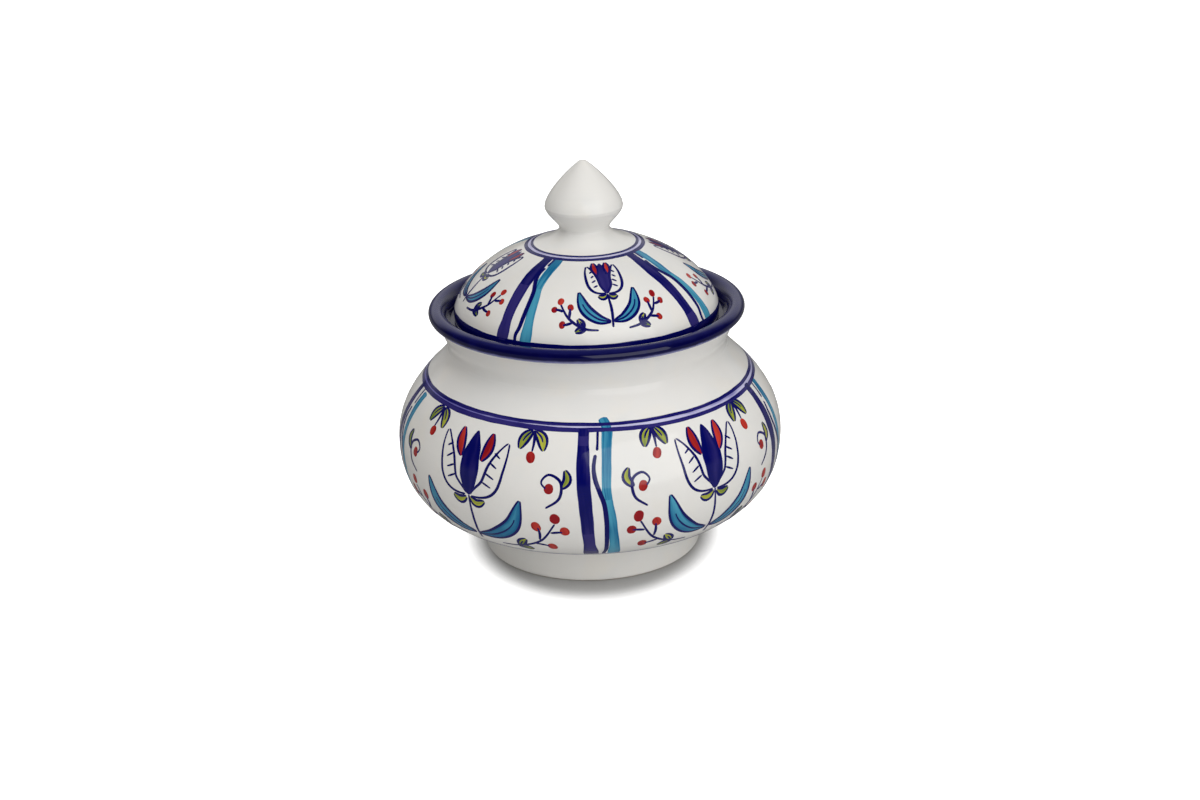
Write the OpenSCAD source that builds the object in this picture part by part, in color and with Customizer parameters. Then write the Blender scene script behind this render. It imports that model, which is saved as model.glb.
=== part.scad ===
// Glazed pottery candy dish with a lift-off lid.
// Every piece is turned about the Z axis, so each is drawn as a half section [radius, height] and
// revolved. Millimetres, +Z up, origin on the table under the middle of the foot.

/* [Bowl] */
// Diameter of the belly at its widest
belly_d = 150.6; // [144:0.2:158]
// Height of the widest part of the belly
belly_z = 47; // [43:0.5:51]
// Diameter of the neck at its narrowest
neck_d = 108.4; // [106:0.2:110]
// Height of the narrowest part of the neck
neck_z = 84; // [82:0.5:86]
// Thickness of the wall
wall = 5; // [4:0.25:5.5]
// Thickness of the floor
floor_t = 5; // [4:0.5:7]

/* [Foot ring] */
// Outer diameter of the foot
foot_d = 86.2; // [80:0.2:90]
// Height of the foot
foot_h = 15; // [12:0.5:16]
// Thickness of the foot where it stands on the table
foot_t = 7; // [5:0.5:9]
// Reach of the luting fillet between the foot and the bowl
foot_flare = 2.2; // [1:0.2:3]

/* [Rim collar] */
// Outer diameter of the rolled lip
lip_d = 122.4; // [119:0.2:126]
// Width of the rolled lip, measured outward
lip_w = 6.2; // [5:0.2:7]
// Height of the rolled lip
lip_h = 5.2; // [4.4:0.2:6]
// Height of the lip's crest above the table
lip_z = 99.9; // [99:0.1:102]
// Height of the ledge that carries the lid
seat_z = 94; // [93:0.1:94.5]
// Inner diameter of the ledge
seat_d = 96; // [94:0.2:97]
// Height of the joint between the bowl's neck and the collar
collar_z = 90.5; // [89:0.25:91.5]
// Outer diameter of that joint
collar_d = 112.4; // [111:0.2:114]

/* [Lid dome] */
// Diameter of the lid at its edge
lid_d = 102.4; // [101:0.2:104]
// Gap left round the lid's edge inside the rim
lid_gap = 1.6; // [1:0.1:2]
// Height of the lid's upright edge
lid_edge_h = 3.8; // [2:0.2:5]
// Rise of the dome above its upright edge
dome_rise = 25.5; // [22:0.5:30]
// Thickness of the dome at its top
dome_t = 4.6; // [3.5:0.2:6]

/* [Lid flange] */
// Outer diameter of the flange inside the mouth
flange_d = 92.8; // [90:0.2:93.4]
// Thickness of the flange
flange_t = 3.6; // [2.5:0.1:4.5]
// Depth of the flange below the ledge
flange_drop = 8; // [5:0.5:12]

/* [Lid knob] */
// Diameter of the knob's flared pad where it meets the dome
pad_d = 38.8; // [34:0.2:42]
// Diameter of the knob's neck
knob_neck_d = 19.2; // [15:0.2:22]
// Diameter of the knob at its widest
knob_d = 30; // [26:0.2:34]
// Height of the neck above the pad's underside
knob_neck_h = 5.7; // [4.5:0.1:7]
// Height of the widest part above the pad's underside
knob_wide_h = 14.2; // [13:0.1:16]
// Height of the tip above the pad's underside
knob_tip_h = 31.8; // [29:0.1:34]

/* [Hidden] */

// Segments round a full turn
$fn = 128;
// Steps along a long curve, a short curve, the rolled lip and a small rounding
long_steps = 20;
short_steps = 8;
lip_steps = 28;
round_steps = 8;

// Headings of a half section's line, in degrees
outward = 0;
upward = 90;
inward = 180;
downward = -90;

// Small roundings on the edges
foot_round = 1.4;
foot_inner_round = 2;
ledge_round = 1;
lid_edge_round = 0.8;
flange_round = 1.2;
// How much wider the foot's recess is at the table than at the bowl
foot_draft = 1.2;

// Where the lip's round starts, under it, and ends, inside its crest, in degrees about its middle
lip_start = -90;
lip_end = 120;

// Headings of the walls where one curve meets the next
underside_heading = 12;
floor_heading = 183;
flare_heading = 73;
lip_inner_heading = 205;
seat_wall_heading = 252;
dome_heading = 164;
tip_heading = 141;

// Fullness of the curves: how far each end's handle reaches along its heading
underside_reach = 12;
belly_low_reach = 25.2;
belly_high_reach = 21;
shoulder_reach = 6.3;
flare_reach = 2.2;
hollow_neck_reach = 6.5;
hollow_high_reach = 18.5;
hollow_low_reach = 20;
floor_reach = 10;
lip_inner_reach = 2;
dome_edge_reach = 2.8;
dome_top_reach = 26.4;
dome_hollow_reach = 24;
land_reach = 15;
pad_reach = 5.7;
pad_neck_reach = 1.4;
knob_neck_reach = 2.1;
knob_low_reach = 2.9;
knob_high_reach = 4.1;
knob_cone_reach = 6.6;
tip_reach = 1;

// How far inside the foot joint the floor stops being flat
floor_inset = 1;
// Half width and height of the knob's rounded tip
tip_round = [2.2, 0.9];

// Radii and heights that follow from the driving dimensions
belly_r = belly_d / 2;
neck_r = neck_d / 2;
foot_r = foot_d / 2;
foot_joint_r = foot_r + foot_flare;
floor_z = foot_h + floor_t;
floor_r = foot_joint_r - floor_inset;
collar_r = collar_d / 2;
lip_centre = [lip_d / 2 - lip_w / 2, lip_z - lip_h / 2];
// Where the collar's flare runs into the underside of the rolled lip
lip_crease = [collar_r + (lip_z - lip_h - collar_z) / tan(flare_heading), lip_z - lip_h];
seat_r = seat_d / 2;
lid_r = lid_d / 2;
seat_outer_r = lid_r + lid_gap;
edge_z = seat_z + lid_edge_h;
dome_z = edge_z + dome_rise;
flange_r = flange_d / 2;
flange_inner_r = flange_r - flange_t;
pad_r = pad_d / 2;
neck_point = [neck_r, neck_z];
belly_point = [belly_r, belly_z];
collar_point = [collar_r, collar_z];
knob_neck = [knob_neck_d / 2, dome_z + knob_neck_h];
knob_wide = [knob_d / 2, dome_z + knob_wide_h];
knob_tip_z = dome_z + knob_tip_h;
// The tip is rounded over from this point
tip_shoulder = [tip_round.x, knob_tip_z - tip_round.y];

// Unit vector along a heading in degrees
function along(heading) = [cos(heading), sin(heading)];

// Points of a cubic curve from p to q, leaving along one heading and arriving along another. A
// reach is the length of each end's handle. The last point is left to the curve that follows.
function curve(p, heading_p, reach_p, q, heading_q, reach_q, steps) =
    let (a = p + reach_p * along(heading_p), b = q - reach_q * along(heading_q))
    [for (i = [0 : steps - 1])
        let (t = i / steps, s = 1 - t)
        s^3 * p + 3 * s^2 * t * a + 3 * s * t^2 * b + t^3 * q];

// Points of an elliptical arc about a centre, both ends included
function arc(centre, radius_x, radius_z, from, to, steps) =
    [for (i = [0 : steps])
        let (angle = from + (to - from) * i / steps)
        centre + [radius_x * cos(angle), radius_z * sin(angle)]];

// Signed turn from one heading to another, the short way round
function turn(from, to) = (to - from + 540) % 360 - 180;

// Points of a corner p rounded to a radius, between the points before and after it
function rounded(before, p, after, radius) =
    let (u = (before - p) / norm(before - p),
         v = (after - p) / norm(after - p),
         half = acos(u * v) / 2,
         centre = p + (u + v) / norm(u + v) * radius / sin(half),
         first = p + u * radius / tan(half) - centre,
         last = p + v * radius / tan(half) - centre,
         from = atan2(first.y, first.x),
         to = atan2(last.y, last.x))
    arc(centre, radius, radius, from, from + turn(from, to), round_steps);

module revolve(section) {
    rotate_extrude()
        polygon(section);
}

// Outer wall of the bowl, from the foot joint up to the collar joint
function bowl_outside() = concat(
    curve([foot_joint_r, foot_h], underside_heading, underside_reach,
          belly_point, upward, belly_low_reach, long_steps),
    curve(belly_point, upward, belly_high_reach, neck_point, upward, shoulder_reach, long_steps),
    curve(neck_point, upward, flare_reach, collar_point, flare_heading, flare_reach, short_steps),
    [collar_point]);

// Inner wall of the bowl, from the collar joint down to the middle of the floor
function bowl_inside() =
    let (inset = [wall, 0],
         joint = collar_point - inset,
         throat = neck_point - inset,
         widest = belly_point - inset,
         floor_edge = [floor_r, floor_z])
    concat(
        curve(joint, flare_heading + 180, flare_reach, throat, downward, flare_reach, short_steps),
        curve(throat, downward, hollow_neck_reach, widest, downward, hollow_high_reach, long_steps),
        curve(widest, downward, hollow_low_reach, floor_edge, floor_heading, floor_reach, long_steps),
        [floor_edge, [0, floor_z]]);

// Thrown belly, shoulder and neck, closed at the bottom
module bowl() {
    color("ivory")
        revolve(concat([[0, foot_h]], bowl_outside(), bowl_inside()));
}

// Turned ring that is luted under the bowl and stands on the table
module foot_ring() {
    inner_r = foot_r - foot_t;
    top_inner = [inner_r - foot_draft, foot_h];
    bottom_inner = [inner_r, 0];
    bottom_outer = [foot_r, 0];
    flare_start = [foot_r, foot_h - foot_flare];
    flare_centre = [foot_joint_r, foot_h - foot_flare];
    color("linen")
        revolve(concat(
            [top_inner],
            rounded(top_inner, bottom_inner, bottom_outer, foot_inner_round),
            rounded(bottom_inner, bottom_outer, flare_start, foot_round),
            arc(flare_centre, foot_flare, foot_flare, inward, upward, short_steps)));
}

// Flared collar with the rolled lip outside and the lid's ledge inside
module rim_collar() {
    lip_last = lip_centre + [lip_w / 2 * cos(lip_end), lip_h / 2 * sin(lip_end)];
    seat_outer = [seat_outer_r, seat_z];
    seat_inner = [seat_r, seat_z];
    bottom_inner = [seat_r, collar_z];
    color("midnightblue")
        revolve(concat(
            [bottom_inner, collar_point, lip_crease],
            arc(lip_centre, lip_w / 2, lip_h / 2, lip_start, lip_end, lip_steps),
            curve(lip_last, lip_inner_heading, lip_inner_reach,
                  seat_outer, seat_wall_heading, lip_inner_reach, short_steps),
            [seat_outer],
            rounded(seat_outer, seat_inner, bottom_inner, ledge_round)));
}

// Domed shell with an upright edge and a flat land that rests on the ledge
module lid_dome() {
    land_inner = [flange_inner_r, seat_z];
    land_outer = [lid_r, seat_z];
    edge_top = [lid_r, edge_z];
    top = [pad_r, dome_z];
    hollow_top = [0, dome_z - dome_t];
    color("ivory")
        revolve(concat(
            rounded(land_inner, land_outer, edge_top, lid_edge_round),
            curve(edge_top, upward, dome_edge_reach, top, dome_heading, dome_top_reach, long_steps),
            [top, [0, dome_z]],
            curve(hollow_top, outward, dome_hollow_reach, land_inner, downward, land_reach, long_steps),
            [land_inner]));
}

// Ring under the dome that drops into the mouth and keeps the lid in place
module lid_flange() {
    bottom_z = seat_z - flange_drop;
    top_inner = [flange_inner_r, seat_z];
    bottom_inner = [flange_inner_r, bottom_z];
    bottom_outer = [flange_r, bottom_z];
    top_outer = [flange_r, seat_z];
    color("linen")
        revolve(concat(
            [top_inner],
            rounded(top_inner, bottom_inner, bottom_outer, flange_round),
            rounded(bottom_inner, bottom_outer, top_outer, flange_round),
            [top_outer]));
}

// Onion-shaped knob on a flared pad that follows the slope of the dome
module lid_knob() {
    pad_edge = [pad_r, dome_z];
    tip = [0, knob_tip_z];
    color("ivory")
        revolve(concat(
            [[0, dome_z]],
            curve(pad_edge, dome_heading, pad_reach, knob_neck, upward, pad_neck_reach, short_steps),
            curve(knob_neck, upward, knob_neck_reach, knob_wide, upward, knob_low_reach, short_steps),
            curve(knob_wide, upward, knob_high_reach,
                  tip_shoulder, tip_heading, knob_cone_reach, short_steps),
            curve(tip_shoulder, tip_heading, tip_reach, tip, inward, tip_reach, round_steps),
            [tip]));
}

bowl();
foot_ring();
rim_collar();
lid_dome();
lid_flange();
lid_knob();
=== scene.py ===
import math
import random
from collections import namedtuple

import bmesh
import bpy
import numpy as np
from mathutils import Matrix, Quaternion, Vector


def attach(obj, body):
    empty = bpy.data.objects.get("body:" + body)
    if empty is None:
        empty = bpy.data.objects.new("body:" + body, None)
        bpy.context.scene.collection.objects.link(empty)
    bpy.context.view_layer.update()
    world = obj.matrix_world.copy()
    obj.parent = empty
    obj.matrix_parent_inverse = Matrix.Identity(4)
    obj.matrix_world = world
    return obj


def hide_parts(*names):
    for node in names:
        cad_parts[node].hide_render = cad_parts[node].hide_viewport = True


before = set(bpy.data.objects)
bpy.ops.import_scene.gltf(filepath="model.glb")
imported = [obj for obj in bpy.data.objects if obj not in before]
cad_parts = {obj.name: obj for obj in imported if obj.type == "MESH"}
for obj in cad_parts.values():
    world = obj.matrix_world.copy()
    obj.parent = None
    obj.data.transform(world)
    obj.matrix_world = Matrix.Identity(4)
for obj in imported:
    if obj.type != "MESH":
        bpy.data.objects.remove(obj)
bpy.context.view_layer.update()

# Glazed pottery candy dish: turned pieces in glossy white and cobalt glaze, with brushwork on them.
# Lengths are millimetres until a mesh is made, apart from those whose comment says metres.
# Angles on the pot are degrees from the front (-Y) to the right.

MM = 0.001
hand = random.Random(11)


def linear(level):
    """One sRGB channel, 0 to 255, as linear light."""
    c = level / 255
    return c / 12.92 if c <= 0.04045 else ((c + 0.055) / 1.055) ** 2.4


def srgb(red, green, blue):
    return (linear(red), linear(green), linear(blue), 1.0)


# Turned pieces: faces round, spacing of rings, corner and straight angles, and how near is the same ring
SEGMENTS = 192
RING_SPACING = 1.2
CORNER_ANGLE = 14.0
STRAIGHT_ANGLE = 0.01
SAME_RING = 0.02

# Unevenness left by the hand that threw the pieces. Turns are radians, and the twist is millimetres a radian
OVAL = 0.12
OVAL_TURN = 0.8
THREE_LOBES = 0.06
LOBES_TURN = 2.1
LOBES_TWIST = 40.0
THROWING_RIPPLE = 0.02
THROWING_PITCH = 4.2
FULL_RADIUS = 75.0

# Bare clay: the foot below a height, the land under the lid's edge, and the flange outside a radius
FOOT_BARE_TOP = 0.5
LAND_TOP = 94.2
LAND_RADIUS = 43.0
FLANGE_SKIN = 45.2

# Glazes and clay: colours, gloss, and between which values of a noise each change comes in
WHITE_BODY = (0.86, 0.852, 0.825, 1.0)
WHITE_COOL = (0.835, 0.835, 0.815, 1.0)
WHITE_WARM = (0.865, 0.848, 0.805, 1.0)
IRON_SPECK = (0.4, 0.3, 0.2, 1.0)
CLAY = (0.56, 0.43, 0.31, 1.0)
CLAY_DARK = (0.42, 0.3, 0.2, 1.0)
GLAZE_IOR = 1.45
GLAZE_ROUGHNESS = (0.05, 0.1)
CLAY_ROUGHNESS = (0.72, 0.92)
GLOSS_SPAN = (0.3, 0.7)
COOL_SPAN = (0.42, 0.68)
WARM_SPAN = (0.5, 0.75)
MOTTLE_SPAN = (0.35, 0.7)

# Iron specks: edge of a speck as shares of its cell, and how much of its colour shows
SPECK_EDGE = (0.16, 0.05)
SPECK_DEPTH = 0.55

# Cobalt rim: paler crest, partly glaze thin on the edge and partly painted sheen, wash under the lip and
# lower end by height, and outside and ledge by radius
NAVY_DEEP = srgb(1, 1, 60)
NAVY_THIN = srgb(14, 14, 96)
NAVY_CREST_SHEEN = srgb(40, 42, 112)
NAVY_WASH = srgb(124, 127, 186)
THIN_SPAN = (0.45, 0.8)
THIN_SHARE = 0.35
CREST = (98.4, 99.8)
CREST_SHARE = 0.45
WASH = (96.9, 95.5)
WASH_SHARE = 0.85
LIP_END = (94.9, 94.5)
LIP_RADIUS = 54.0
LEDGE_END = (48.4, 47.9)

# Inks: slot, thickness, and colour where the ink lies deep, thin and at its edges
InkKind = namedtuple("InkKind", "slot lift deep thin fringe")
INK_KINDS = {
    "lilac": InkKind("lilac_glaze", 0.03,
                     srgb(106, 102, 174), srgb(206, 204, 234), srgb(212, 211, 228)),
    "turquoise": InkKind("turquoise_glaze", 0.045,
                         srgb(18, 102, 150), srgb(76, 160, 190), srgb(136, 194, 208)),
    "leaf": InkKind("leaf_glaze", 0.05,
                    srgb(104, 126, 48), srgb(190, 192, 74), srgb(206, 208, 130)),
    "berry": InkKind("berry_glaze", 0.065,
                     srgb(146, 20, 30), srgb(200, 62, 50), srgb(216, 130, 110)),
    "navy": InkKind("cobalt_glaze", 0.08,
                    srgb(2, 6, 94), srgb(50, 44, 116), srgb(96, 94, 160)),
}

# Brushed colour: streaks along a stroke, and where it pools and fades, as shares of its half width
STROKES_APART = 40.0
STREAK_ALONG = 0.05
STREAK_ACROSS = 1.1
POOL_SPAN = (0.5, 0.82)
POOL_LOAD = 0.3
FRINGE_SPAN = (0.86, 1.0)
FRINGE_SHARE = 0.7

# Section through a stroke: place from edge to edge, share of the ink's thickness, and depth in the wall
STROKE_ACROSS = np.array([-1.0, -0.88, -0.45, 0.0, 0.45, 0.88, 1.0, 0.8, -0.8])
STROKE_RISE = np.array([0.0, 0.8, 1.0, 1.0, 1.0, 0.8, 0.0, 0.0, 0.0])
STROKE_SINK = np.array([0.05, 0.0, 0.0, 0.0, 0.0, 0.0, 0.05, 0.1, 0.1])

# Strokes: depth of the ends, rise of each coat, bluntness, least half width and steps, and the hand's waves
STROKE_END_SINK = 0.05
COAT_STEP = 0.018
BLUNT_POWER = 4
NARROWEST = 0.03
FEWEST_STEPS = 6
HAND_WAVES = (9.0, 17.0, 31.0)

# How unsteady the edges of a stroke are, as shares of its half width
STEADY = 0.05
UNSTEADY = 0.08
ROUGH = 0.1

# Lines, leaves and berries: range of the load of colour, and shape
LINE_LOAD = (0.65, 1.0)
LINE_ENDS = 0.7
LINE_SWELL = 0.4
LINE_TAPER = 1.15
LEAF_LOAD = (0.3, 0.8)
LEAF_POINT = 0.75
VEIN_REACH = 0.75
VEIN_SHARE = 0.7
VEIN_POINTS = 4
BERRY_LOAD = (0.3, 0.9)
BERRY_LEAN = 0.5
BERRY_TALL = (1.0, 1.25)

# Painted walls: where each begins, and the heights of the lines on it
BOWL_WALL_FOOT = 15.5
SHOULDER_LINES = (71.35, 72.95)
BOTTOM_LINE = 20.9
DOME_WALL_FOOT = 94.6
LID_EDGE = (95.0, 99.2)
LID_RING_LINES = (122.38, 123.06)

# Rings: half width, load of colour, and how far a ring sinks to the right of the front
SHOULDER_LOW = {"half": 0.94, "load": 0.3, "lean": 0.75}
SHOULDER_HIGH = {"half": 0.74, "load": 0.5, "lean": 0.3}
SHOULDER_LILAC = {"load": 0.25, "lean": 0.5}
BOTTOM_RING = {"half": 0.55, "load": 0.1}
LID_RING_LOW = {"half": 0.86, "load": 0.95}
LID_RING_HIGH = {"half": 0.6, "load": 0.95}
LID_LILAC_LOAD = 0.2
LID_EDGE_LOAD = 0.95

# All rings: coat, shake and its wavelengths, swelling where a ring rises, and the most that its edges stray
RING_COAT = 1
RING_SHAKE = 0.15
RING_WAVES = (40.0, 90.0, 150.0)
RING_SWELL = 0.25
RING_UNSTEADY = 0.12
RING_WOBBLE = 0.1

# More coats on the shoulder's lilac ring: the angles where each starts and ends, and its load
LILAC_COATS = ((262.0, 347.0, 0.45), (266.0, 337.0, 1.0))

# Stripes: angle, slant, how far the turquoise passes the line above, and where on the height navy is doubled
Stripe = namedtuple("Stripe", "angle slant overrun doubled")
LID_OVERRUN = 0.4
BELLY_STRIPES = (
    Stripe(0.0, None, 5.0, (0.285, 0.915)),
    Stripe(70.6, None, -0.6, (0.3, 0.96)),
    Stripe(176.6, None, 1.0, (0.2, 0.85)),
    Stripe(282.6, None, -1.0, (0.35, 0.97)),
)
LID_STRIPES = (
    Stripe(-33.5, -2.0, LID_OVERRUN, (0.55, 1.0)),
    Stripe(50.0, 2.4, LID_OVERRUN, (0.1, 1.0)),
    Stripe(143.7, -1.5, LID_OVERRUN, (0.2, 0.8)),
    Stripe(236.3, 2.0, LID_OVERRUN, (0.4, 0.95)),
)

# All stripes: most slant of a belly stripe drawn by hand, scale across, and how far they pass the base
BELLY_SLANT = 0.5
BELLY_STRIPE_SIZE = 1.0
LID_STRIPE_SIZE = 0.85
BELLY_UNDERRUN = 0.6
LID_UNDERRUN = 1.6

# Top of a turquoise bar: cap's least length and foot as shares of the height, and tip's place and lean
CAP_LENGTH = 0.04
CAP_FOOT = 0.97
TIP_ASIDE = 6.9
TIP_LEAN = 18.0

# Width of a navy bar's second coat, as a share of the first
SECOND_COAT_SHARE = 0.93

# Motifs: radius at which they are drawn, scale, and how they sit between the stripes
BELLY_REACH = 72.0
LID_REACH = 39.0
BELLY_SCALE = 0.96
LID_SCALE = 0.62
STRIPE_ROOM = 8.5
MOTIF_HALF = 41.5
MOTIF_SHIFT = 2.2
MOTIF_DROP = 1.5
SPRIG_ASIDE = 25.0
SPRIG_RISE = 1.0

# Camera, fitted to the photograph
CAMERA_DISTANCE = 750.0
CAMERA_ELEVATION = 20.0
CAMERA_TARGET_Z = 76.0
CAMERA_LENS = 57.55
CAMERA_ROLL = 1.6
SENSOR_WIDTH = 36.0
PHOTO_SIZE = (1200, 800)
TARGET_PIXEL = (588.0, 356.8)

# Lamps, in degrees and metres: azimuth, elevation, distance, size and level. One of them shows in the glaze
SOFTBOXES = {
    "key_softbox": (30.0, 20.0, 1.5, 1.6, 0.56),
    "top_softbox": (-5.0, 66.0, 1.3, 1.0, 0.33),
    "back_softbox": (200.0, 15.0, 1.5, 1.0, 0.4),
}
MIRRORED_LAMP = "key_softbox"
SOFTBOX_TARGET = (0.0, 0.0, 0.071)

# World and floor: colours, radius in metres, the painted contact shade under the foot and the glow around it
WHITE = (1.0, 1.0, 1.0, 1.0)
BLACK = (0.0, 0.0, 0.0, 1.0)
WORLD_COLOUR = (1.0, 0.965, 0.92, 1.0)
WORLD_STRENGTH = 0.317
FLOOR_RADIUS = 4.0
FLOOR_SIDES = 64
FLOOR_DARKER = (0.67, 0.67, 0.67, 1.0)
FLOOR_LIGHTER = (0.69, 0.69, 0.69, 1.0)
PAINTED_SHADE_COLOUR = (0.36, 0.36, 0.36, 1.0)
CONTACT_REACH = 20.0
CONTACT_SKY = (0.75, 0.3)
CONTACT_SAMPLES = 16
GLOW_SHAPE = (1.0, 0.73, 1.0)
GLOW_CENTRE = (0.16, 6.6, 0.0)
GLOW_REACH = (42.4, 55.3)
GLOW_LEVEL = (0.055, 1.0)

# Dim studio, which shows in reflections: radius and lift in metres, levels, and extents in millimetres
STUDIO_RADIUS = 3.0
STUDIO_DETAIL = 5
STUDIO_COLOUR = (1.0, 0.99, 0.97, 1.0)
TABLE_LIFT = 0.0002
TABLE_LEVEL = 0.22
WALL_LEVEL = 0.035
WALL_FOOT = 400.0
BACKDROP_DEPTH = (1400.0, 2500.0)
BACKDROP_RISE = (250.0, 900.0)
BACKDROP_LEVEL = 0.58


# Outlines of the turned pieces, read off the frame

def ring_table(mesh):
    """Each vertex's ring number, and each ring's (radius, height)."""
    co = np.empty(len(mesh.vertices) * 3)
    mesh.vertices.foreach_get("co", co)
    co = co.reshape(-1, 3) / MM
    places = np.stack([np.hypot(co[:, 0], co[:, 1]), co[:, 2]], axis=1)
    rings = []
    numbers = np.full(len(places), -1)
    for place in np.unique(np.round(places, 2), axis=0):
        near = np.abs(places - place).max(axis=1) < SAME_RING
        if (numbers[near] >= 0).any():
            continue
        numbers[near] = len(rings)
        rings.append(places[near].mean(axis=0))
    return numbers, rings


def half_section(node):
    """A turned node's outline as (radius, height), its material on the left, and if it is a loop."""
    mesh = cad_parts[node].data
    numbers, rings = ring_table(mesh)
    links = {i: set() for i in range(len(rings))}
    for edge in mesh.edges:
        a, b = (int(numbers[v]) for v in edge.vertices)
        if a != b:
            links[a].add(b)
            links[b].add(a)
    ends = [i for i in links if len(links[i]) == 1]
    walk = [ends[0] if ends else 0]
    while True:
        onward = [i for i in links[walk[-1]] if i not in walk]
        if not onward:
            break
        walk.append(onward[0])
    points = [rings[i] for i in walk]
    if ends and points[0][0] > SAME_RING:
        points.insert(0, np.array([0.0, points[0][1]]))
    if ends and points[-1][0] > SAME_RING:
        points.append(np.array([0.0, points[-1][1]]))
    if signed_area(points) < 0:
        points.reverse()
    return points, not ends


def signed_area(points):
    p = np.array(points)
    q = np.roll(p, -1, axis=0)
    return float(np.sum(p[:, 0] * q[:, 1] - q[:, 0] * p[:, 1])) / 2


def turning(before, here, after):
    """How sharply an outline turns at a point, in degrees."""
    u = here - before
    v = after - here
    return abs(math.degrees(math.atan2(u[0] * v[1] - u[1] * v[0], float(u @ v))))


def stretches(node):
    """The node's outline as smooth stretches between its sharp corners, and if it is a loop."""
    points, closed = half_section(node)
    count = len(points)
    sharp = [i for i in range(count)
             if turning(points[i - 1], points[i], points[(i + 1) % count]) > CORNER_ANGLE]
    if closed:
        first = sharp[0]
        points = points[first:] + points[:first + 1]
        sharp = [i - first for i in sharp] + [count]
    else:
        sharp = [0] + [i for i in sharp if 0 < i < count - 1] + [count - 1]
    return [smooth(points[a:b + 1], RING_SPACING) for a, b in zip(sharp, sharp[1:])], closed


def smooth(points, spacing):
    """Points along a smooth curve through the given ones. A straight step stays whole."""
    p = [np.array(q, float) for q in points]
    p = [2 * p[0] - p[1]] + p + [2 * p[-1] - p[-2]]
    out = []
    for a, b, c, d in zip(p, p[1:], p[2:], p[3:]):
        straight = turning(a, b, c) < STRAIGHT_ANGLE and turning(b, c, d) < STRAIGHT_ANGLE
        steps = 1 if straight else math.ceil(np.linalg.norm(c - b) / spacing)
        out += [spline_point(a, b, c, d, i / steps) for i in range(steps)]
    return out + [p[-2]]


def spline_point(a, b, c, d, t):
    """Centripetal Catmull-Rom point between b and c."""
    t1 = np.linalg.norm(b - a) ** 0.5
    t2 = t1 + np.linalg.norm(c - b) ** 0.5
    t3 = t2 + np.linalg.norm(d - c) ** 0.5
    u = t1 + (t2 - t1) * t
    ab = a * (t1 - u) / t1 + b * u / t1
    bc = b * (t2 - u) / (t2 - t1) + c * (u - t1) / (t2 - t1)
    cd = c * (t3 - u) / (t3 - t2) + d * (u - t2) / (t3 - t2)
    abc = ab * (t2 - u) / t2 + bc * u / t2
    bcd = bc * (t3 - u) / (t3 - t1) + cd * (u - t1) / (t3 - t1)
    return abc * (t2 - u) / (t2 - t1) + bcd * (u - t1) / (t2 - t1)


def in_space(radius, height, angle):
    """Points of a turned surface in metres, with the unevenness of hand throwing. Angles in radians."""
    oval = OVAL * np.cos(2 * angle + OVAL_TURN)
    lobes = THREE_LOBES * np.cos(3 * angle + LOBES_TURN + height / LOBES_TWIST)
    spiral = THROWING_RIPPLE * np.sin(2 * np.pi * height / THROWING_PITCH + angle)
    r = radius * (1 + (oval + lobes + spiral) / FULL_RADIUS)
    return np.stack([r * np.sin(angle), -r * np.cos(angle), height + 0 * angle], axis=-1) * MM


# Materials

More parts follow.
